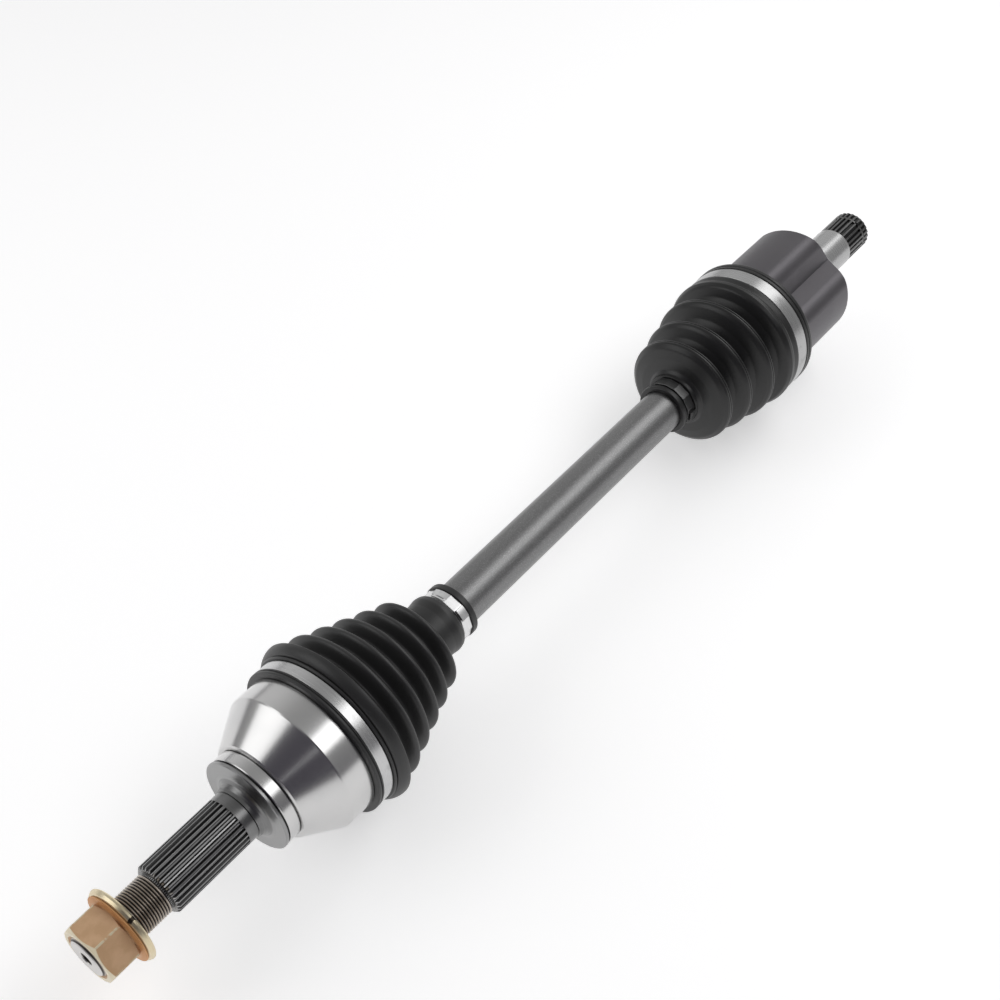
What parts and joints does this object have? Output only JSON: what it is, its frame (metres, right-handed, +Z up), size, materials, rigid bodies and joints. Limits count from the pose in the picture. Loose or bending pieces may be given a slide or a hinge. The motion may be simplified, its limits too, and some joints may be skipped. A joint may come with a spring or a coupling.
{
  "type": "cv axle",
  "caption": "Front drive axle with a fixed ball joint and bell at the hub end, pleated rubber boots, plain bar, sliding tripod joint with a lobed housing, and a flanged axle nut.",
  "frame": {"origin": "centre of the hub shoulder face on the shaft axis", "axes": "+X along the shaft axis towards the gearbox end, +Z up, +Y to the left when looking along +X"},
  "size_m": [0.725, 0.1042, 0.1042],
  "materials": {
    "bar_paint": "dark grey satin paint with a fine speckle",
    "machined_housing": "ground and polished forged steel",
    "dark_housing": "dark grey semi-gloss paint on a forging, bright machined stub",
    "yellow_zinc": "yellow passivated zinc plate",
    "boot_rubber": "satin black thermoplastic rubber",
    "adapter_rubber": "matt black rubber",
    "clamp_steel": "bright plain strip steel",
    "dark_clamp": "dark strip steel",
    "bearing_steel": "hardened and ground bearing steel",
    "hardened_steel": "case hardened steel, dark from heat treatment",
    "spring_steel": "phosphated spring steel"
  },
  "bodies": {
    "axle_shaft": {"axle_bar": "bar_paint", "outboard_inner_race": "hardened_steel", "inner_race_circlip": "spring_steel", "inner_race_stop_ring": "spring_steel", "tripod_spider": "hardened_steel", "spider_inner_circlip": "spring_steel", "spider_outer_circlip": "spring_steel", "roller_retainer_1": "spring_steel", "roller_retainer_2": "spring_steel", "roller_retainer_3": "spring_steel", "retainer_circlip_1": "spring_steel", "retainer_circlip_2": "spring_steel", "retainer_circlip_3": "spring_steel", "outboard_small_clamp": "clamp_steel", "inboard_small_clamp": "dark_clamp"},
    "top_ball": {"ball_1": "bearing_steel"},
    "cage_and_balls": {"ball_cage": "hardened_steel", "ball_2": "bearing_steel", "ball_3": "bearing_steel", "ball_5": "bearing_steel", "ball_6": "bearing_steel"},
    "bottom_ball": {"ball_4": "bearing_steel"},
    "hub_end": {"outboard_housing": "machined_housing", "outboard_boot": "boot_rubber", "outboard_large_clamp": "clamp_steel"},
    "nut_washer": {"axle_nut_washer": "yellow_zinc"},
    "axle_nut": {"axle_nut": "yellow_zinc"},
    "needles_1": {"needle_set_1": "bearing_steel"},
    "needles_2": {"needle_set_2": "bearing_steel"},
    "needles_3": {"needle_set_3": "bearing_steel"},
    "roller_1": {"roller_1": "bearing_steel"},
    "roller_2": {"roller_2": "bearing_steel"},
    "roller_3": {"roller_3": "bearing_steel"},
    "gearbox_boot": {"inboard_boot": "boot_rubber"},
    "gearbox_end": {"inboard_housing": "dark_housing", "boot_adapter": "adapter_rubber", "inboard_large_clamp": "clamp_steel", "stub_retaining_ring": "spring_steel"}
  },
  "joints": [
    {"name": "hub_tilt_first_half", "type": "hinge", "parent": "axle_shaft", "child": "top_ball", "pos_m": [0.037, 0, 0], "axis": [0, 1, 0], "range_deg": [-5, 5]},
    {"name": "hub_swing_first_half", "type": "hinge", "parent": "top_ball", "child": "cage_and_balls", "pos_m": [0.037, 0, 0], "axis": [0, 0, 1], "range_deg": [-18, 18]},
    {"name": "hub_swing_second_half", "type": "hinge", "parent": "cage_and_balls", "child": "bottom_ball", "pos_m": [0.037, 0, 0], "axis": [0, 0, 1], "range_deg": [-18, 18]},
    {"name": "hub_tilt_second_half", "type": "hinge", "parent": "bottom_ball", "child": "hub_end", "pos_m": [0.037, 0, 0], "axis": [0, 1, 0], "range_deg": [-5, 5], "deforming": ["outboard_boot"]},
    {"name": "nut_travel", "type": "slide", "parent": "hub_end", "child": "nut_washer", "axis": [1, 0, 0], "range_m": [-0.0241, 0.0141]},
    {"name": "nut_turn", "type": "hinge", "parent": "nut_washer", "child": "axle_nut", "pos_m": [-0.09, 0, 0], "axis": [1, 0, 0], "range_deg": [-5760, 3360]},
    {"name": "gearbox_tilt", "type": "hinge", "parent": "axle_shaft", "child": "needles_1", "pos_m": [0.5, 0, 0], "axis": [0, 0.4067, 0.9135], "range_deg": [-6, 6]},
    {"name": "gearbox_swing", "type": "hinge", "parent": "needles_1", "child": "gearbox_boot", "pos_m": [0.5, 0, 0], "axis": [0, 0.9135, -0.4067], "range_deg": [-14, 14], "deforming": ["inboard_boot"]},
    {"name": "plunge", "type": "slide", "parent": "gearbox_boot", "child": "gearbox_end", "axis": [1, 0, 0], "range_m": [-0.018, 0.018], "deforming": ["inboard_boot"]},
    {"name": "roller_1_spin", "type": "hinge", "parent": "axle_shaft", "child": "roller_1", "pos_m": [0.5, 0, 0], "axis": [0, 0.4067, 0.9135], "continuous": true},
    {"name": "roller_2_spin", "type": "hinge", "parent": "axle_shaft", "child": "roller_2", "pos_m": [0.5, 0, 0], "axis": [0, -0.9945, -0.1045], "continuous": true},
    {"name": "roller_3_spin", "type": "hinge", "parent": "axle_shaft", "child": "roller_3", "pos_m": [0.5, 0, 0], "axis": [0, 0.5878, -0.809], "continuous": true},
    {"name": "needles_2_orbit", "type": "hinge", "parent": "axle_shaft", "child": "needles_2", "pos_m": [0.5, 0, 0], "axis": [0, -0.9945, -0.1045], "continuous": true},
    {"name": "needles_3_orbit", "type": "hinge", "parent": "axle_shaft", "child": "needles_3", "pos_m": [0.5, 0, 0], "axis": [0, 0.5878, -0.809], "continuous": true}
  ],
  "couplings": [
    {"joint": "hub_tilt_second_half", "follows": "hub_tilt_first_half", "ratio": 1},
    {"joint": "hub_swing_second_half", "follows": "hub_swing_first_half", "ratio": 1},
    {"joint": "nut_travel", "follows": "nut_turn", "m_per_rad": 0.00023873},
    {"joint": "needles_2_orbit", "follows": "roller_2_spin", "ratio": 0.5559},
    {"joint": "needles_3_orbit", "follows": "roller_3_spin", "ratio": 0.5559}
  ]
}
